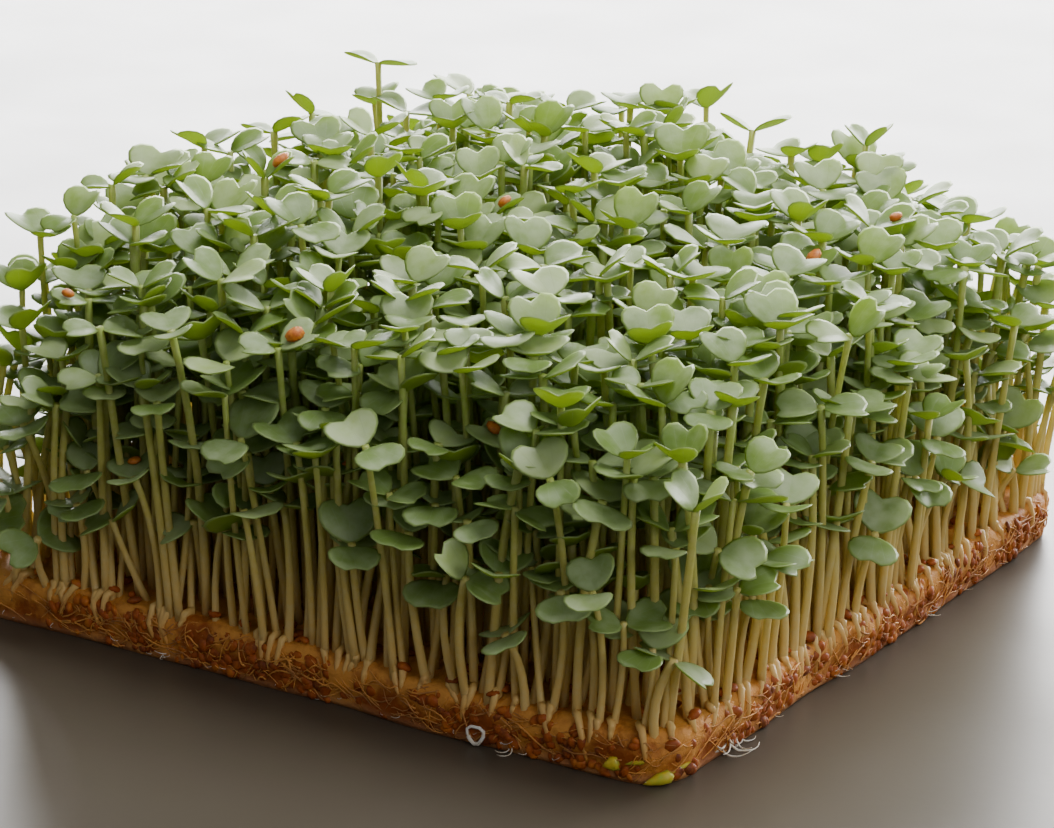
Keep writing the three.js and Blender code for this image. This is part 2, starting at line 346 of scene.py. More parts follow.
# The light that thin and wet parts let through
LEAF_GLOW = (0.6, 0.74, 0.04, 1)
STEM_GLOW = (0.8, 0.72, 0.28, 1)
FELT_GLOW = (0.8, 0.36, 0.08, 1)
STRAND_GLOW = (0.8, 0.5, 0.16, 1)
NECK_GLOW = (0.85, 0.6, 0.22, 1)
ROOTLET_GLOW = (0.8, 0.75, 0.6, 1)
HULL_GLOW = (0.7, 0.2, 0.02, 1)
LEAF_HULL_GLOW = (0.8, 0.3, 0.03, 1)
SPROUT_GLOW = (0.7, 0.6, 0.05, 1)


@functools.cache
def leaf_material():
    colours = bpy.context.scene.microgreens_finish
    finish = Finish("seed_leaf")
    blade = finish.node("ShaderNodeAttribute", {"attribute_name": "blade"})
    parts = finish.node("ShaderNodeSeparateColor", None, {"Color": blade.outputs["Color"]})
    rim = finish.number(parts, "Red")
    along = finish.number(parts, "Green")
    across = finish.number(parts, "Blue") * 2 - 1
    draw = finish.number(blade, "Alpha")
    upper = finish.number(finish.node("ShaderNodeAttribute", {"attribute_name": "upper"}), "Fac")

    # Veins fan out from the foot of the leaf
    ribs = abs((across.angle_from(along + 0.25) * 7).sine())
    vein = (1 - ribs.step(0.0, 0.22)) * (1 - rim.step(0.6, 0.95)) * 0.35

    patches = finish.noise(420, 3)
    # Pale patches on the upper side, more on some leaves than on others: waxy bloom together with a
    # painted whitish sheen
    bloom_and_sheen = (patches * 0.7 + draw * 0.4 - 0.1).step(0.2, 0.75) * 0.75
    young = finish.blend(draw.step(0.72, 0.95), opaque(colours.leaf), opaque(colours.young_leaf))
    top = finish.blend(bloom_and_sheen, young, opaque(colours.bloom_and_sheen))
    side = finish.blend(upper, opaque(colours.underside), top)
    veined = finish.blend(vein, side, VEIN)
    edged = finish.blend(rim.step(0.86, 1.0) * 0.6, veined, LEAF_RIM)
    inputs = {
        "Base Color": edged,
        "Roughness": 0.36 + patches * 0.18,
        "Specular IOR Level": 0.6,
        "Normal": finish.bump(finish.noise(2600, 2) * 0.6 - vein, 0.35, 0.0001),
    }
    return finish.surface(inputs, 0.38, LEAF_GLOW)


@functools.cache
def stem_material():
    colours = bpy.context.scene.microgreens_finish
    finish = Finish("stem")
    rise = finish.height()
    pale = finish.blend(rise.step(0.006, 0.03), opaque(colours.stem_foot), opaque(colours.stem))
    green = finish.blend(rise.step(0.02, 0.05), pale, opaque(colours.stem_top))
    streaks = finish.noise(900, 2).step(0.35, 0.75) * 0.3
    inputs = {
        "Base Color": finish.blend(streaks, green, STEM_STREAK),
        "Roughness": 0.42,
        "Normal": finish.bump(finish.noise(1800, 2), 0.2, 0.0001),
    }
    return finish.surface(inputs, 0.35, STEM_GLOW)


@functools.cache
def felt_material():
    colours = bpy.context.scene.microgreens_finish
    finish = Finish("root_felt")
    rise = finish.height()
    fine = finish.noise(1300, 4, 0.65)
    broad = finish.noise(120, 3)
    clean = (broad * 0.9 + fine * 0.3 + rise.step(0.002, 0.008) * 0.12).step(0.5, 0.72)
    base = finish.blend(clean, opaque(colours.felt), opaque(colours.roots))
    rust = finish.noise(340, 3).step(0.52, 0.72) * 0.5
    rusty = finish.blend(rust, base, FELT_RUST)
    rim = (1 - rise.step(0.0004, 0.0022)) * 0.6
    inputs = {
        "Base Color": finish.blend(rim, rusty, FELT_FOOT),
        "Roughness": 0.42 + fine * 0.3,
        "Specular IOR Level": 0.3,
        "Normal": finish.bump(fine + broad * 0.5, 0.6, 0.0005),
    }
    return finish.surface(inputs, 0.2, FELT_GLOW)


@functools.cache
def strand_material():
    colours = bpy.context.scene.microgreens_finish
    finish = Finish("root_strand")
    stain = finish.noise(200, 3).step(0.42, 0.62)
    inputs = {
        "Base Color": finish.blend(stain * 0.85, opaque(colours.roots), STRAND_STAIN),
        "Roughness": 0.42 + finish.noise(1500, 2) * 0.2,
        "Normal": finish.bump(finish.noise(2400, 2), 0.3, 0.0001),
    }
    return finish.surface(inputs, 0.2, STRAND_GLOW)


@functools.cache
def neck_material():
    colours = bpy.context.scene.microgreens_finish
    finish = Finish("root_neck")
    rise = finish.height().step(0.001, 0.009)
    stain = finish.noise(300, 3).step(0.45, 0.7) * 0.4
    pale = finish.blend(rise, opaque(colours.roots), opaque(colours.stem_foot))
    inputs = {
        "Base Color": finish.blend(stain, pale, NECK_STAIN),
        "Roughness": 0.4 + stain * 0.3,
        "Normal": finish.bump(finish.noise(1800, 2), 0.25, 0.0001),
    }
    return finish.surface(inputs, 0.3, NECK_GLOW)


@functools.cache
def rootlet_material():
    finish = Finish("rootlet")
    pale = finish.noise(500, 2).step(0.35, 0.7)
    inputs = {
        "Base Color": finish.blend(pale, ROOTLET_CREAM, ROOTLET_WHITE),
        "Roughness": 0.4 + pale * 0.15,
    }
    return finish.surface(inputs, 0.2, ROOTLET_GLOW)


@functools.cache
def hull_material():
    colours = bpy.context.scene.microgreens_finish
    finish = Finish("seed_hull")
    each = finish.noise(260, 2)
    light = finish.blend(each.step(0.5, 0.7), opaque(colours.hull), HULL_LIGHT)
    dark = finish.blend((1 - each.step(0.3, 0.48)) * 0.85, light, HULL_DARK)
    pits = finish.noise(3000, 3)
    inputs = {
        "Base Color": finish.blend(pits.step(0.45, 0.75) * 0.5, dark, HULL_PIT),
        "Roughness": 0.4 + pits * 0.3,
        "Specular IOR Level": 0.3,
        "Normal": finish.bump(pits, 0.5, 0.0001),
    }
    return finish.surface(inputs, 0.15, HULL_GLOW)


@functools.cache
def leaf_hull_material():
    finish = Finish("leaf_hull")
    stain = finish.noise(1500, 3).step(0.35, 0.7)
    inputs = {
        "Base Color": finish.blend(stain, LEAF_HULL_ORANGE, LEAF_HULL_BROWN),
        "Roughness": 0.4 + stain * 0.2,
        "Normal": finish.bump(finish.noise(3000, 2), 0.4, 0.0001),
    }
    return finish.surface(inputs, 0.2, LEAF_HULL_GLOW)


@functools.cache
def sprout_material():
    finish = Finish("yellow_sprout")
    tint = finish.noise(450, 2).step(0.4, 0.65)
    inputs = {
        "Base Color": finish.blend(tint, SPROUT_YELLOW, SPROUT_GREEN),
        "Roughness": 0.4 + tint * 0.1,
        "Normal": finish.bump(finish.noise(1500, 2), 0.3, 0.0001),
    }
    return finish.surface(inputs, 0.25, SPROUT_GLOW)


@functools.cache
def floor_material():
    colour = bpy.context.scene.microgreens_stage.floor
    finish = Finish("studio_floor")
    grain = finish.noise(30, 4)
    inputs = {
        "Base Color": finish.blend(grain, opaque(colour * 0.94), opaque(colour)),
        "Roughness": 0.34 + grain * 0.1,
        "Normal": finish.bump(finish.noise(400, 3), 0.05, 0.0003),
    }
    return finish.surface(inputs)


# Shapes


def put_piece(bm, name, materials):
    """Turns a bmesh into a finished piece that rides on the mat."""
    if not bm.faces:
        raise RuntimeError(f"{name} came out empty")
    mesh = bpy.data.meshes.new(name)
    bmesh.ops.recalc_face_normals(bm, faces=bm.faces)
    for face in bm.faces:
        face.smooth = True
    bm.to_mesh(mesh)
    bm.free()
    for material in materials:
        mesh.materials.append(material)
    piece = bpy.data.objects.new(name, mesh)
    bpy.context.scene.collection.objects.link(piece)
    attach(piece, BODY)
    return piece


@functools.cache
def small_ball(segments, rings):
    """A ball of radius 1, to be pressed into a leaf or a hull."""
    bm = bmesh.new()
    bm.verts.layers.float_color.new("blade")
    bm.verts.layers.float.new("upper")
    bmesh.ops.create_uvsphere(bm, u_segments=segments, v_segments=rings, radius=1)
    mesh = bpy.data.meshes.new("small_ball")
    bm.to_mesh(mesh)
    bm.free()
    return mesh


def add_ball(bm, segments, rings):
    """Adds a small ball and gives its points."""
    before = len(bm.verts)
    bm.from_mesh(small_ball(segments, rings))
    bm.verts.ensure_lookup_table()
    return bm.verts[before:]


@functools.cache
def straight_tube(sides, steps):
    """A closed upright tube with a ring of points at each of the heights 0, 1, 2 and so on."""
    bm = bmesh.new()
    bmesh.ops.create_cone(bm, cap_ends=True, segments=sides, radius1=1, radius2=1, depth=steps)
    bmesh.ops.translate(bm, vec=(0, 0, steps / 2), verts=bm.verts)
    for height in range(1, steps):
        parts = [*bm.verts, *bm.edges, *bm.faces]
        bmesh.ops.bisect_plane(bm, geom=parts, plane_co=(0, 0, height), plane_no=(0, 0, 1))
    mesh = bpy.data.meshes.new("straight_tube")
    bm.to_mesh(mesh)
    bm.free()
    return mesh


def add_tube(bm, points, radii, sides, material=0):
    """A closed tube along points, in millimetres, with a radius at each of them."""
    steps = len(points) - 1
    verts_before, faces_before = len(bm.verts), len(bm.faces)
    bm.from_mesh(straight_tube(sides, steps))
    bm.verts.ensure_lookup_table()
    bm.faces.ensure_lookup_table()
    points = [Vector(point) for point in points]
    rings = []
    for i, point in enumerate(points):
        ahead = (points[min(i + 1, steps)] - points[max(i - 1, 0)]).normalized()
        aside = rings[-1][1] if rings else ahead.orthogonal()
        aside = (aside - ahead * aside.dot(ahead)).normalized()
        rings.append((point, aside, ahead.cross(aside)))
    for vert in bm.verts[verts_before:]:
        i = round(vert.co.z)
        middle, first, second = rings[i]
        vert.co = (middle + (first * vert.co.x + second * vert.co.y) * radii[i]) * MM
    for face in bm.faces[faces_before:]:
        face.material_index = material


class Draws:
    """The same numbers each time, between 0 and 1 or between two others."""

    factor = 16807
    modulus = 2147483647

    def __init__(self, seed):
        self.state = seed

    def __call__(self, low=0.0, high=1.0):
        self.state = self.state * self.factor % self.modulus
        return low + (high - low) * (self.state / self.modulus)


# Sowing, by the CAD source's own rule


class Seedling:
    """A stem from a foot to a head, with the directions of its two leaves."""

    def __init__(self, foot, head, azimuth, rises, scale, bow):
        self.foot = foot
        self.head = head
        self.bend = np.array(
            [
                foot[0] + (head[0] - foot[0]) * 0.35 + bow[0],
                foot[1] + (head[1] - foot[1]) * 0.35 + bow[1],
                foot[2] + (head[2] - foot[2]) * 0.55,
            ]
        )
        up = head - self.bend
        self.up = up / np.linalg.norm(up)
        level = np.array([math.cos(azimuth), math.sin(azimuth), 0.0])
        along = level - self.up * level.dot(self.up)
        along /= np.linalg.norm(along)
        across = np.cross(self.up, along)
        self.leaves = []
        for side, rise, size in ((1, rises[0], 1.0), (-1, rises[1], 0.9)):
            self.leaves.append(
                {
                    "out": along * side * math.cos(rise) + self.up * math.sin(rise),
                    "across": across * side,
                    "normal": self.up * math.cos(rise) - along * side * math.sin(rise),
                    "length": LEAF_LENGTH * scale * size,
                    "half_width": LEAF_HALF_WIDTH * scale * size,
                }
            )
        self.leaf_probes = np.concatenate([self.probes(leaf) for leaf in self.leaves])
        shares = (np.arange(STEM_PROBES) + 0.5) / STEM_PROBES
        self.stem_probes = np.array([self.stem_point(share) for share in shares])

    def probes(self, leaf):
        along, across = LEAF_PROBES[:, :1], LEAF_PROBES[:, 1:]
        return (
            self.head
            + leaf["out"] * along * leaf["length"]
            + leaf["across"] * across * leaf["half_width"]
            + leaf["normal"] * across * across * LEAF_CUP
        )

    def stem_point(self, share):
        back = 1 - share
        return self.foot * back * back + self.bend * 2 * back * share + self.head * share * share


def nearest(first, second):
    """The least distance between two sets of points."""
    gaps = first[:, None, :] - second[None, :, :]
    return math.sqrt((gaps * gaps).sum(2).min())


class Bed:
    """What is sown so far, and whether there is room for one more."""

    def __init__(self):
        self.heads = np.empty((0, 2))
        self.leaves = np.empty((0, 2 * len(LEAF_PROBES), 3))
        self.stems = np.empty((0, STEM_PROBES, 3))

    def add(self, seedling):
        self.heads = np.vstack([self.heads, seedling.head[None, :2]])
        self.leaves = np.concatenate([self.leaves, seedling.leaf_probes[None]])
        self.stems = np.concatenate([self.stems, seedling.stem_probes[None]])

    def has_room(self, seedling, clearances):
        near = (np.abs(self.heads - seedling.head[:2]) <= 4 * LEAF_LENGTH).all(1)
        if not near.any():
            return True
        leaves = self.leaves[near].reshape(-1, 3)
        stems = self.stems[near].reshape(-1, 3)
        leaf_gap, mixed_gap, stem_gap = clearances
        return (
            nearest(seedling.leaf_probes, leaves) >= leaf_gap
            and nearest(seedling.leaf_probes, stems) >= mixed_gap
            and nearest(seedling.stem_probes, leaves) >= mixed_gap
            and nearest(seedling.stem_probes, stems) >= stem_gap
        )


def canopy_height(x, y, top=CANOPY_TOP, fall=CANOPY_FALL):
    share = math.hypot(x, y) / (MAT_SIDE * math.sqrt(0.5))
    return top - fall * share**4


def edge_share(x, y):
    """0 inside the mat, rising to 1 at its edge."""
    reach = max(abs(x), abs(y))
    return min(1.0, max(0.0, (reach - EDGE_STARTS) / (MAT_SIDE / 2 - EDGE_STARTS)))


def try_seedling(foot, drop_range, habit, draw):
    """How a seedling leans, how tall it is and how its leaves turn."""
    edge = edge_share(foot[0], foot[1])
    reach = math.hypot(foot[0], foot[1]) or 1.0
    lean_angle = draw() * 2 * math.pi
    lean = LEAN * math.sqrt(draw())
    outwards = edge * (habit["lean_out"][0] + habit["lean_out"][1] * draw())
    drop = drop_range[0] + drop_range[1] * draw() ** 1.5
    x = foot[0] + lean * math.cos(lean_angle) + outwards * foot[0] / reach
    y = foot[1] + lean * math.sin(lean_angle) + outwards * foot[1] / reach
    head = np.array([x, y, canopy_height(x, y) - drop])
    azimuth = draw() * math.pi
    rises = [habit["rise"][0] + habit["rise"][1] * draw() for _ in range(2)]
    scale = 0.9 + 0.2 * draw()
    bow = (BOW * edge * (draw() - 0.5), BOW * edge * (draw() - 0.5))
    return Seedling(foot, head, azimuth, rises, scale * habit["size"], bow)


def stem_foot(crown, index, is_turned, draw):
    row = index % TUFT_ROWS - (TUFT_ROWS - 1) / 2
    file = -0.5 if index < TUFT_ROWS else 0.5
    in_row = row * TUFT_ROW_PITCH + FOOT_SHIFT * (2 * draw() - 1)
    in_file = file * TUFT_FILE_PITCH + FOOT_SHIFT * (2 * draw() - 1)
    share = min(1.0, FOOT_REACH / math.hypot(in_row, in_file))
    x, y = (in_row, in_file) if is_turned else (in_file, in_row)
    return np.array([crown[0] + x * share, crown[1] + y * share, CROWN_EDGE_Z - STEM_SUNK])


@functools.cache
def sow():
    """The tufts in the CAD model's order, each with its crown's place and its seedlings."""
    draw = Draws(SOWING_SEED)
    bed = Bed()
    tufts = []
    middle = (CROWNS_PER_SIDE - 1) / 2
    for row in range(CROWNS_PER_SIDE):
        for column in range(CROWNS_PER_SIDE):
            x = (column - middle) * CROWN_PITCH + CROWN_SHIFT * (2 * draw() - 1)
            y = (row - middle) * CROWN_PITCH + CROWN_SHIFT * (2 * draw() - 1)
            draw()  # the CAD source draws each crown's turn here
            seedlings = []
            for i in range(2 * TUFT_ROWS):
                foot = stem_foot((x, y), i, (row + column) % 2 == 1, draw)
                is_short = edge_share(foot[0], foot[1]) > 0.3 and draw() < SHORT_SHARE
                kind = "short" if is_short else "full"
                if (row, column, i) == TALL_ONE:
                    kind = "tall"
                for _ in range(TRIES):
                    seedling = try_seedling(foot, HEAD_DROP[kind], SOWN_HABIT, draw)
                    if bed.has_room(seedling, CLEARANCES):
                        seedlings.append(seedling)
                        bed.add(seedling)
                        break
            tufts.append(((x, y), seedlings))
    fill_in(bed, tufts)
    return tufts


def all_seedlings():
    return [seedling for _, members in sow() for seedling in members]


def is_within(seedling):
    """Whether a seedling keeps within the reach of the CAD model."""
    low, high = np.array(CAD_BOX) / MM
    return bool(
        (seedling.leaf_probes > low - 1).all() and (seedling.leaf_probes < high + 1).all()
    )


def far_share(x, y):
    """0 on the near and right sides of the mat, rising to 1 on its two far sides."""
    share = (0.3 * y - 0.7 * x + 16) / 20
    return min(1.0, max(0.0, share)) * min(1.0, max(0.0, (y + 58) / 15))


def fill_in(bed, tufts):
    """Sows more seedlings between those of the CAD model, each into the nearest tuft."""
    settings = bpy.context.scene.microgreens_seedlings
    draw = Draws(SOWING_SEED + 1)
    for _ in range(settings.rim):
        angle = draw(0, 2 * math.pi)
        reach = mat_reach(angle) - draw(0.7, 2.4)
        foot = np.array(
            [math.cos(angle) * reach, math.sin(angle) * reach, MAT_THICKNESS - draw(1.4, 2.8)]
        )
        fill_from(foot, (9, 24), RIM_HABIT, bed, tufts, draw)
    half = MAT_SIDE / 2 - 1.5
    for _ in range(settings.extra):
        x, y = draw(-half, half), draw(-half, half)
        if draw() < FILL_EDGE_SHARE:
            out = draw(EDGE_STARTS, half) / max(abs(x), abs(y))
            x, y = x * out, y * out
        foot = np.array([x, y, MAT_THICKNESS - 1])
        fill_from(foot, (0, 20 + 19 * edge_share(x, y)), FILL_HABIT, bed, tufts, draw)
    for _ in range(settings.far):
        x, y = draw(-half, half), draw(-half, half)
        share = far_share(x, y)
        if draw() < share * (0.3 + 0.7 * edge_share(x, y)):
            foot = np.array([x, y, MAT_THICKNESS - 1])
            far_height = canopy_height(x, y, FAR_CANOPY_TOP, FAR_CANOPY_FALL)
            lift = (far_height - canopy_height(x, y)) * share
            fill_from(foot, (-lift, 10), FILL_HABIT, bed, tufts, draw)


def fill_from(foot, drop_range, habit, bed, tufts, draw):
    """Sows one more seedling at a foot, if there is room for it."""
    for _ in range(FILL_TRIES):
        seedling = try_seedling(foot, drop_range, habit, draw)
        if is_within(seedling) and bed.has_room(seedling, FILL_CLEARANCES):
            bed.add(seedling)
            home = min(tufts, key=lambda tuft: math.dist(tuft[0], foot[:2]))
            home[1].append(seedling)
            return


# Seedlings


def leaf_outline(turn, depth):
    """Along and across a leaf, as shares of its length and half width, at a turn from its notch."""
    notch = depth * math.exp(-((turn / 0.3) ** 2))
    waist = 1 - 0.5 * math.exp(-(((math.pi - abs(turn)) / 0.5) ** 2))
    along = 0.53 + 0.5 * math.cos(turn) - notch
    across = math.sin(turn) * (0.93 + 0.17 * math.cos(turn)) * waist
    return along, across


def add_leaf(bm, seedling, leaf, draw):
    """A fleshy, cupped and notched leaf, from a flattened ball."""
    settings = bpy.context.scene.microgreens_seedlings
    made = add_ball(bm, settings.sides, 6)
    colour_layer = bm.verts.layers.float_color["blade"]
    upper_layer = bm.verts.layers.float["upper"]
    tint = draw()
    size = draw(0.88, 1.04)
    notch = draw(0.14, 0.28)
    cup = leaf["half_width"] * draw(0.16, 0.36)
    droop = leaf["length"] * draw(-0.2, 0.08)
    twist = draw(-0.12, 0.12)
    for vert in made:
        flat = math.hypot(vert.co.x, vert.co.y)
        turn = math.atan2(vert.co.y, vert.co.x)
        edge_along, edge_across = leaf_outline(turn, notch)
        along = 0.5 + (edge_along - 0.5) * flat
        across = edge_across * flat
        rise = cup * abs(across) ** 1.4 + droop * along * along + twist * across * leaf["half_width"]
        rise += settings.blade / MM / 2 * vert.co.z
        vert[colour_layer] = (flat, max(0.0, along), 0.5 + 0.5 * across, tint)
        vert[upper_layer] = 1.0 if vert.co.z > 0.01 else 0.0
        place = (
            seedling.head
            + leaf["out"] * along * leaf["length"] * size
            + leaf["across"] * across * leaf["half_width"] * size
            + leaf["normal"] * rise
        )
        vert.co = Vector(place) * MM


def add_stem(bm, seedling, draw):
    radius = bpy.context.scene.microgreens_seedlings.stem_radius / MM * draw(0.8, 1.12)
    shares = [0, 0.12, 0.3, 0.5, 0.7, 0.88, 1]
    points = [seedling.stem_point(share) for share in shares]
    points[-1] = seedling.head + seedling.up * 0.35
    widths = [1.25, 1.12, 1.05, 1, 0.95, 0.9, 1.05]
    add_tube(bm, points, [radius * width for width in widths], 6, 1)


class MICROGREENS_OT_seedlings(bpy.types.Operator):
    """Sow the seedlings, one piece for each tuft of the CAD model"""

    bl_idname = "microgreens.seedlings"
    bl_label = "Seedlings"
    seed = 1000

    def execute(self, context):
        for number, (_, seedlings) in enumerate(sow(), 1):
            draw = Draws(self.seed + number)
            bm = bmesh.new()
            for seedling in seedlings:
                add_stem(bm, seedling, draw)
                for leaf in seedling.leaves:
                    add_leaf(bm, seedling, leaf, draw)
            piece = put_piece(
                bm, f"greens_{number:02d}", [leaf_material(), stem_material()]
            )
            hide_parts(f"seedling_tuft_{number:02d}")
        return {"FINISHED"}


# Root mat


def edge_wander(angle):
    """How far the torn edge wanders outwards at an angle round the mat."""
    slow = 0.45 * math.sin(5 * angle + 0.8) + 0.3 * math.sin(11 * angle + 2.1)
    quick = 0.25 * math.sin(17 * angle + 4)
    return MAT_EDGE_WANDER * (0.5 + 0.5 * (slow + quick))


def mat_reach(angle):
    """From the middle of the mat to its edge, in millimetres."""
    half = MAT_SIDE / 2
    straight = half - MAT_CORNER_RADIUS
    long_side = max(abs(math.cos(angle)), abs(math.sin(angle)))
    short_side = min(abs(math.cos(angle)), abs(math.sin(angle)))
    reach = half / long_side
    if reach * short_side > straight:
        towards = straight * (long_side + short_side)
        reach = towards + math.sqrt(towards**2 - 2 * straight**2 + MAT_CORNER_RADIUS**2)
    return reach + edge_wander(angle)


def felt_lump(place):
    """How far the felt stands out, from about -1 to 1, at a place in millimetres."""
    return noise.noise(place / BROAD_LUMP) * 0.7 + noise.noise(place / FINE_LUMP) * 0.5


# How far in the side of the mat is at each height, in millimetres, from the top down
SIDE_PROFILE = (
    (7.5, 0.7),
    (6.9, 0.1),
    (5.9, -0.3),
    (4.8, -0.4),
    (3.6, -0.3),
    (2.5, -0.1),
    (1.5, 0),
    (0.7, 0),
    (0, 0.3),
)


def side_point(angle, height, out=0.0):
    """A place on the side of the mat, in millimetres."""
    heights = [level for level, _ in SIDE_PROFILE][::-1]
    insets = [inset for _, inset in SIDE_PROFILE][::-1]
    reach = mat_reach(angle) - float(np.interp(height, heights, insets)) + out
    return Vector((math.cos(angle) * reach, math.sin(angle) * reach, height))


class MICROGREENS_OT_root_mat(bpy.types.Operator):
    """Make the felt of matted roots"""

    bl_idname = "microgreens.root_mat"
    bl_label = "Root Mat"

    # How far in from the edge the rim is, how far the top rises over the CAD model's and how
    # far it falls again at the rim, in millimetres
    rim = 1.7
    rise = 0.4
    fall = 0.6

    # The mat has no lumps below this height, where it rests
    flat = 0.2

    def execute(self, context):
        settings = context.scene.microgreens_mat
        bm = bmesh.new()
        bmesh.ops.create_grid(bm, x_segments=settings.cells, y_segments=settings.cells, size=1)
        for vert in bm.verts:
            x, y = vert.co.x, vert.co.y
            angle = math.atan2(y, x)
            square = max(abs(math.cos(angle)), abs(math.sin(angle)))
            reach = (mat_reach(angle) - self.rim) * square
            edge = max(abs(x), abs(y))
            top = MAT_THICKNESS + self.rise - self.fall * edge**12
            vert.co = (x * reach, y * reach, top)
        edges = [edge for edge in bm.edges if edge.is_boundary]
        for height, inset in SIDE_PROFILE:
            made = bmesh.ops.extrude_edge_only(bm, edges=edges)["geom"]
            edges = [item for item in made if isinstance(item, bmesh.types.BMEdge)]
            for vert in [item for item in made if isinstance(item, bmesh.types.BMVert)]:
                angle = math.atan2(vert.co.y, vert.co.x)
                reach = mat_reach(angle) - inset
                vert.co = (reach * math.cos(angle), reach * math.sin(angle), height)
        bmesh.ops.edgeloop_fill(bm, edges=edges)
        bm.normal_update()
        lump = settings.lump / MM
        for vert in bm.verts:
            if vert.co.z >= self.flat:
                vert.co += vert.normal * felt_lump(vert.co) * lump
        bmesh.ops.scale(bm, vec=(MM, MM, MM), verts=bm.verts)
        piece = put_piece(bm, "root_felt", [felt_material()])
        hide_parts("root_mat")
        return {"FINISHED"}


class MICROGREENS_OT_root_strands(bpy.types.Operator):
    """Weave single roots over the sides of the mat"""

    bl_idname = "microgreens.root_strands"
    bl_label = "Root Strands"
    seed = 4242
    shares = [step / 8 for step in range(9)]

    def execute(self, context):
        draw = Draws(self.seed)
        bm = bmesh.new()
        for _ in range(context.scene.microgreens_mat.strands):
            angle = draw(0, 2 * math.pi)
            span = draw(0.02, 0.13) * (1 if draw() < 0.5 else -1)
            low, high = draw(0.3, 7.4), draw(0.3, 7.4)
            phase, waves = draw(0, ANY_TURN), draw(0.6, 1.6) * ANY_TURN
            points = []
            for share in self.shares:
                height = low + (high - low) * share + 0.5 * math.sin(phase + waves * share)
                height = min(7.4, max(0.35, height))
                lift = 0.16 + 0.26 * math.sin(phase * 2 + 5 * share)
                points.append(side_point(angle + span * share, height, lift))
            radius = draw(0.05, 0.16)
            add_tube(bm, points, [radius * (1.05 - 0.4 * share) for share in self.shares], 5)
        put_piece(bm, "root_strands", [strand_material()])
        return {"FINISHED"}


class MICROGREENS_OT_root_necks(bpy.types.Operator):
    """Run the thick first roots of the rim's seedlings down the sides of the mat"""

    bl_idname = "microgreens.root_necks"
    bl_label = "Root Necks"
    seed = 640

    def execute(self, context):
        draw = Draws(self.seed)
        bm = bmesh.new()
        for seedling in all_seedlings():
            x, y = seedling.foot[:2]
            angle = math.atan2(y, x)
            if mat_reach(angle) - math.hypot(x, y) > context.scene.microgreens_mat.neck_reach / MM:
                continue
            if draw() < 0.3:
                continue
            low = draw(0.6, 6.2)
            aside = draw(-0.025, 0.025)
            points = [seedling.stem_point(0.07), (x, y, MAT_THICKNESS + 0.45)]
            for i in range(7):
                height = MAT_THICKNESS + 0.1 - (MAT_THICKNESS - low) * i / 6
                lift = 0.12 - 0.06 * i + 0.12 * math.sin(2.1 * i + 30 * angle)
                points.append(side_point(angle + aside * i / 6, height, lift))
            add_tube(bm, points, [0.6, 0.7, 0.62, 0.58, 0.52, 0.46, 0.38, 0.28, 0.14], 6)
        put_piece(bm, "root_necks", [neck_material()])
        return {"FINISHED"}


class MICROGREENS_OT_rootlets(bpy.types.Operator):
    """Let fine rootlets hang and curl out of the lower edge of the mat"""

    bl_idname = "microgreens.rootlets"
    bl_label = "Rootlets"
    seed = 515

    # Angle round the mat in degrees, number, length and thickness of the rootlets in a bunch
    bunches = (
        (-36, 6, 5.4, 0.24),
        (-34, 4, 4, 0.18),
        (-60, 3, 4.2, 0.12),
        (-58, 2, 2.4, 0.1),
        (-111, 4, 2.6, 0.1),
        (-14, 3, 2.8, 0.13),
        (13, 3, 2.4, 0.12),
        (70, 5, 4, 0.14),
        (118, 4, 3, 0.12),
        (152, 6, 4.4, 0.16),
        (-165, 4, 3, 0.12),
    )

    # Angle round the mat in degrees, and radius in millimetres, of roots that curl into a ring
    curls = ((-63.5, 1.35), (100, 1.2), (178, 1.1))

    def execute(self, context):
        draw = Draws(self.seed)
        bm = bmesh.new()
        for degrees, count, length, thickness in self.bunches:
            for _ in range(count):
                angle = math.radians(degrees + draw(-0.9, 0.9))
                self.add_rootlet(bm, angle, length * draw(0.6, 1.2), thickness * draw(0.7, 1.1), draw)
        for _ in range(context.scene.microgreens_mat.rootlets):
            angle = draw(0, 2 * math.pi)
            self.add_rootlet(bm, angle, draw(0.8, 2.2), draw(0.05, 0.09), draw)
        for degrees, radius in self.curls:
            self.add_curl(bm, math.radians(degrees), radius)
        put_piece(bm, "rootlets", [rootlet_material()])
        return {"FINISHED"}

    def add_rootlet(self, bm, angle, length, thickness, draw):
        point = side_point(angle, draw(0.4, 2), -0.3)
        heading = angle + draw(-0.8, 0.8)
        curl = draw(-0.4, 0.4)
        drop = draw(0.1, 0.8)
        points = [point]
        for i in range(7):
            heading += curl
            step = Vector((math.cos(heading), math.sin(heading), 0.16 * i - drop)) * (length / 7)
            point = point + step
            point.z = max(0.12 + thickness, point.z)
            points.append(point)
        add_tube(bm, points, [thickness * (1 - 0.1 * i) for i in range(8)], 5)

    def add_curl(self, bm, angle, radius):
        middle = side_point(angle, radius + 0.5, radius * 0.5)
        outwards = Vector((math.cos(angle + 1.2), math.sin(angle + 1.2), 0))
        points = []
        for i in range(13):
            turn = math.pi * (1.1 + 2.1 * i / 12)
            reach = radius * (1 + 0.12 * math.sin(3 * turn))
            spot = outwards * math.cos(turn) * reach + Vector((0, 0, math.sin(turn) * reach))
            points.append(middle + spot)
        add_tube(bm, points, [0.34 - 0.012 * i for i in range(13)], 6)


# Seed hulls


def add_pellet(bm, place, outwards, first, halves, taper):
    """A ball pressed into three half sizes, tapering to one end. Everything is in millimetres."""
    second = outwards.cross(first)
    for vert in add_ball(bm, 8, 5):
        x, y, z = vert.co
        slim = 1 - taper * x
        spread = first * x * halves[0] + second * y * slim * halves[1] + outwards * z * slim * halves[2]
        spot = place + spread
        spot.z = max(0.1, spot.z)
        vert.co = spot * MM


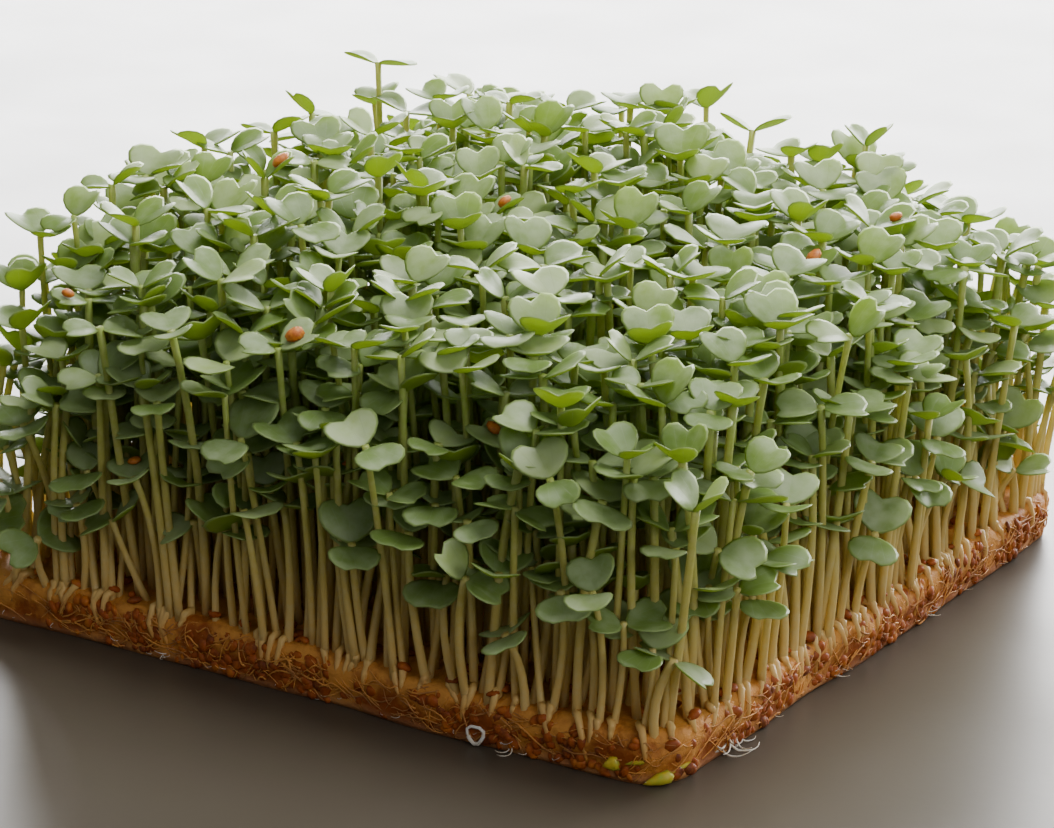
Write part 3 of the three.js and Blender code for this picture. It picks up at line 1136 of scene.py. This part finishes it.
def add_hull(bm, place, outwards, draw, size=1):
    """A spent seed hull against a surface."""
    half = size * bpy.context.scene.microgreens_mat.hull_length / MM / 2 * draw(0.72, 1.15)
    halves = (half, half * draw(0.66, 0.86), half * draw(0.36, 0.6))
    spin = draw(0, ANY_TURN)
    aside = outwards.orthogonal().normalized()
    first = aside * math.cos(spin) + outwards.cross(aside) * math.sin(spin)
    add_pellet(bm, place, outwards, first, halves, draw(0.05, 0.3))


class MICROGREENS_OT_side_hulls(bpy.types.Operator):
    """Press seed hulls into the sides of the mat, in clusters"""

    bl_idname = "microgreens.side_hulls"
    bl_label = "Hulls in the Sides"
    seed = 88

    def execute(self, context):
        draw = Draws(self.seed)
        bm = bmesh.new()
        count = 0
        while count < context.scene.microgreens_mat.side_hulls:
            angle = draw(0, 2 * math.pi)
            place = side_point(angle, 0.9 + 5.6 * draw() ** 1.3, draw(-0.8, -0.1))
            if noise.noise(place / HULL_CLUSTER + CLUSTER_SHIFT) + draw(-0.35, 0.35) < 0:
                continue
            outwards = Vector((math.cos(angle), math.sin(angle), draw(-0.4, 0.4))).normalized()
            add_hull(bm, place, outwards, draw)
            count += 1
        put_piece(bm, "side_hulls", [hull_material()])
        return {"FINISHED"}


class MICROGREENS_OT_top_hulls(bpy.types.Operator):
    """Scatter seed hulls among the stems"""

    bl_idname = "microgreens.top_hulls"
    bl_label = "Hulls on Top"
    seed = 99

    def execute(self, context):
        draw = Draws(self.seed)
        bm = bmesh.new()
        for _ in range(context.scene.microgreens_mat.top_hulls):
            angle = draw(0, 2 * math.pi)
            reach = (mat_reach(angle) - 0.8) * (1 - 0.6 * draw() ** 1.8)
            height = MAT_THICKNESS + draw(0.2, 0.9)
            place = Vector((math.cos(angle) * reach, math.sin(angle) * reach, height))
            add_hull(bm, place, Vector((draw(-0.4, 0.4), draw(-0.4, 0.4), 1)).normalized(), draw)
        put_piece(bm, "top_hulls", [hull_material()])
        return {"FINISHED"}


class MICROGREENS_OT_leaf_hulls(bpy.types.Operator):
    """Leave a few seed hulls sticking to leaves"""

    bl_idname = "microgreens.leaf_hulls"
    bl_label = "Hulls on Leaves"
    seed = 303

    # Places in millimetres. The first leaf on the way there from the camera has kept a hull
    places = (
        (-11, -48, 50),
        (-16, 16, 58),
        (31, -57, 45),
        (2, -56, 32),
        (41, 21, 54),
        (-62, 20, 52),
        (-62, -44, 46),
        (-27, -64, 30),
        (34, 58, 50),
    )

    # How large these hulls are against the loose ones
    size = 1.25

    # A leaf has to face the camera. Where its middle is farther off the line than this width in
    # millimetres, the rest of that distance counts this many times over as a detour
    facing = -0.2
    width = 2
    detour = 12

    def execute(self, context):
        draw = Draws(self.seed)
        bm = bmesh.new()
        for place in self.places:
            head, leaf = self.first_leaf(place)
            spot = head + leaf["out"] * leaf["length"] * draw(0.45, 0.6) + leaf["normal"] * 0.9
            add_hull(bm, Vector(spot), Vector(leaf["normal"]).normalized(), draw, self.size)
        put_piece(bm, "leaf_hulls", [leaf_hull_material()])
        return {"FINISHED"}

    def first_leaf(self, place):
        """The head and leaf nearest to the camera of those close to its line to a place."""
        eye = np.array(MICROGREENS_OT_stage.eye) / MM
        line = np.array(place) - eye
        line /= np.linalg.norm(line)
        met = []
        for seedling in all_seedlings():
            for leaf in seedling.leaves:
                middle = seedling.head + leaf["out"] * leaf["length"] / 2 - eye
                away = middle.dot(line)
                aside = np.linalg.norm(middle - line * away)
                if leaf["normal"].dot(line) < self.facing:
                    astray = max(0, aside - self.width)
                    met.append((away + self.detour * astray, seedling.head, leaf))
        if not met:
            raise RuntimeError(f"no leaf is on the way to {place}")
        return min(met, key=lambda item: item[0])[1:]


class MICROGREENS_OT_stray_sprouts(bpy.types.Operator):
    """Let small yellow sprouts peep out from under the near corner"""

    bl_idname = "microgreens.stray_sprouts"
    bl_label = "Stray Sprouts"
    seed = 77

    # Angle round the mat in degrees, height and half sizes in millimetres
    sprouts = ((-45.3, 1, (2.4, 0.9, 0.9)), (-49.4, 2.6, (1.4, 1.1, 0.8)), (128, 1.2, (1.9, 0.9, 0.8)))

    def execute(self, context):
        draw = Draws(self.seed)
        bm = bmesh.new()
        for degrees, height, halves in self.sprouts:
            angle = math.radians(degrees)
            outwards = Vector((math.cos(angle), math.sin(angle), 0))
            along = Vector((math.sin(angle), -math.cos(angle), draw(-0.25, 0))).normalized()
            add_pellet(bm, side_point(angle, height, 0.4), outwards, along, halves, 0.7)
            points = [side_point(angle + 0.012 * i, height + 0.25 * i, 0.1 * i - 0.6) for i in range(6)]
            add_tube(bm, points, [0.5, 0.5, 0.46, 0.42, 0.36, 0.2], 6)
        put_piece(bm, "stray_sprouts", [sprout_material()])
        return {"FINISHED"}


# Studio


class MICROGREENS_OT_stage(bpy.types.Operator):
    """Set up the floor, the lights and the camera"""

    bl_idname = "microgreens.stage"
    bl_label = "Studio"

    # Where the camera stands and which way it looks, fitted to the outline of the mat
    eye = Vector((0.3169, -0.4889, 0.2253))
    gaze = Vector((-0.5157, 0.7933, -0.3237))

    # How far behind, to the right of and above the mat each light is, and its size, in metres
    lights = (
        ("window", (1.9, 0.7, 0.5), (3, 0.75)),
        ("top", (0.22, 0.25, 1.3), (1, 1)),
        ("front", (-0.9, 0.8, 0.7), (1, 0.8)),
    )

    def execute(self, context):
        settings = context.scene.microgreens_stage
        bm = bmesh.new()
        bmesh.ops.create_grid(bm, x_segments=8, y_segments=8, size=6)
        mesh = bpy.data.meshes.new("studio_floor")
        bm.to_mesh(mesh)
        bm.free()
        mesh.materials.append(floor_material())
        floor = bpy.data.objects.new("studio_floor", mesh)
        context.scene.collection.objects.link(floor)

        back = Vector((self.gaze.x, self.gaze.y, 0)).normalized()
        right = Vector((back.y, -back.x, 0))
        up = Vector((0, 0, 1))
        for name, (away, aside, above), size in self.lights:
            place = back * away + right * aside + up * above
            self.add_light(f"{name}_light", place, size, getattr(settings, f"{name}_power"))

        world = bpy.data.worlds.new("studio_sky")
        world.use_nodes = True
        sky = world.node_tree.nodes["Background"]
        sky.inputs["Color"].default_value = (0.93, 0.96, 1, 1)
        sky.inputs["Strength"].default_value = settings.sky
        context.scene.world = world

        lens = bpy.data.cameras.new("camera")
        lens.lens = settings.lens
        lens.sensor_width = 36
        lens.clip_start = 0.02
        camera = bpy.data.objects.new("camera", lens)
        camera.location = self.eye
        camera.rotation_euler = self.gaze.to_track_quat("-Z", "Y").to_euler()
        context.scene.collection.objects.link(camera)
        context.scene.camera = camera
        return {"FINISHED"}

    def add_light(self, name, place, size, watts):
        lamp = bpy.data.lights.new(name, "AREA")
        lamp.shape = "RECTANGLE"
        lamp.size, lamp.size_y = size
        lamp.energy = watts
        light = bpy.data.objects.new(name, lamp)
        light.location = place
        light.rotation_euler = (-place).to_track_quat("-Z", "Y").to_euler()
        bpy.context.scene.collection.objects.link(light)


STEPS = (
    MICROGREENS_OT_root_mat,
    MICROGREENS_OT_root_strands,
    MICROGREENS_OT_root_necks,
    MICROGREENS_OT_rootlets,
    MICROGREENS_OT_side_hulls,
    MICROGREENS_OT_top_hulls,
    MICROGREENS_OT_seedlings,
    MICROGREENS_OT_leaf_hulls,
    MICROGREENS_OT_stray_sprouts,
    MICROGREENS_OT_stage,
)


class MICROGREENS_PT_panel(bpy.types.Panel):
    """The pieces of the mat, in the order in which they are made"""

    bl_idname = "MICROGREENS_PT_panel"
    bl_label = "Microgreens"
    bl_space_type = "VIEW_3D"
    bl_region_type = "UI"
    bl_category = "Microgreens"

    def draw(self, context):
        for step in STEPS:
            self.layout.operator(step.bl_idname)
        for name in SETTINGS:
            group = getattr(context.scene, name)
            for field in group.bl_rna.properties:
                if field.identifier not in {"rna_type", "name"}:
                    self.layout.prop(group, field.identifier)


def register():
    for name, group in SETTINGS.items():
        bpy.utils.register_class(group)
        setattr(bpy.types.Scene, name, bpy.props.PointerProperty(type=group))
    for step in STEPS:
        bpy.utils.register_class(step)
    bpy.utils.register_class(MICROGREENS_PT_panel)


def unregister():
    bpy.utils.unregister_class(MICROGREENS_PT_panel)
    for step in reversed(STEPS):
        bpy.utils.unregister_class(step)
    for name, group in SETTINGS.items():
        delattr(bpy.types.Scene, name)
        bpy.utils.unregister_class(group)


def main():
    register()
    for step in STEPS:
        group, name = step.bl_idname.split(".")
        getattr(getattr(bpy.ops, group), name)()


if __name__ == "__main__":
    main()
